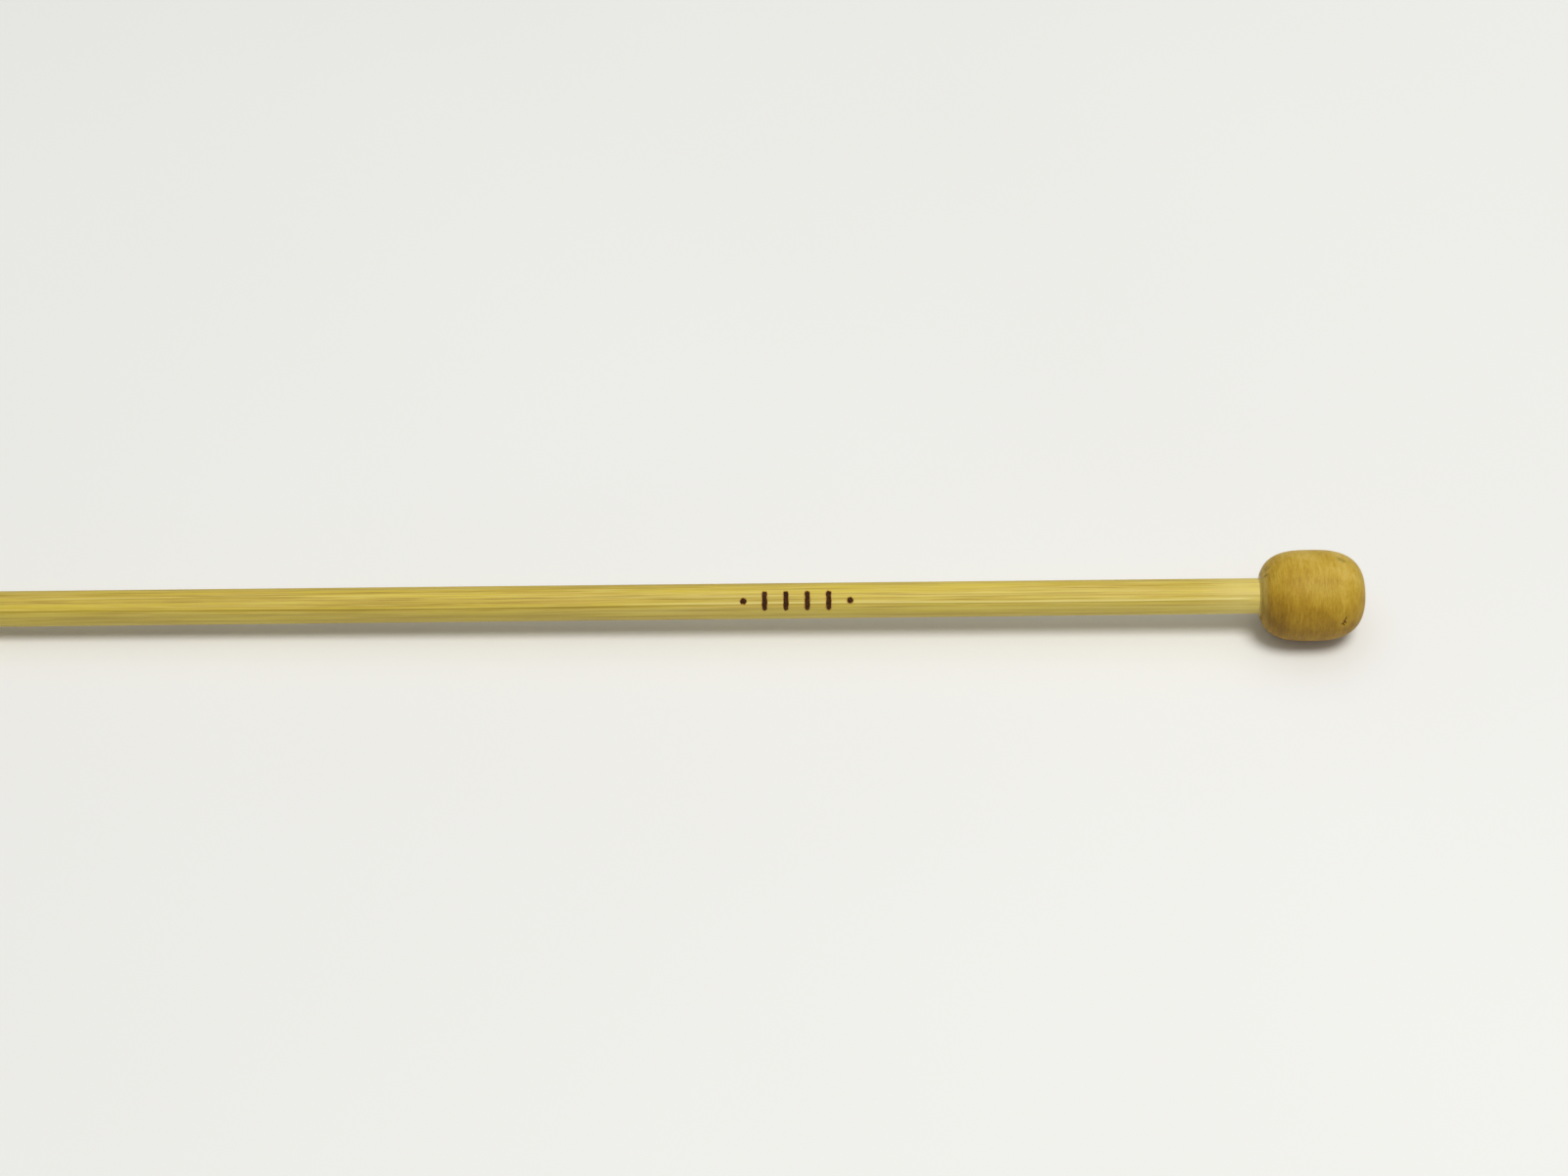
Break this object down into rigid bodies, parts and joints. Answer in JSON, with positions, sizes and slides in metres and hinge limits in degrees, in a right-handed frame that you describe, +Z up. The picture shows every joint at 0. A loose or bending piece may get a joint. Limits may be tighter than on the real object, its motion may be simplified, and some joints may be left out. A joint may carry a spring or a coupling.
{
  "type": "straight knitting needle",
  "caption": "Straight bamboo knitting needle with a tapered point, a burnt gauge mark and a turned barrel-shaped wooden end knob.",
  "frame": {"origin": "on the needle's axis, in the plane of the knob's inner end", "axes": "+X along the needle, from the point towards the knob; +Z up, with the gauge mark facing 40 degrees from +Z towards -Y"},
  "size_m": [0.35, 0.0104, 0.0104],
  "materials": {
    "bamboo": "fine-sanded bamboo with lengthwise fibres and a thin wax",
    "knob_wood": "turned hardwood with a satin clear lacquer",
    "wood_glue": "cured clear amber glue, glossy",
    "char": "burnt bamboo, matt and dark brown"
  },
  "bodies": {
    "root": {"shaft": "bamboo", "knob": "knob_wood", "glue_cup": "wood_glue", "gauge_mark": "char"}
  },
  "joints": []
}
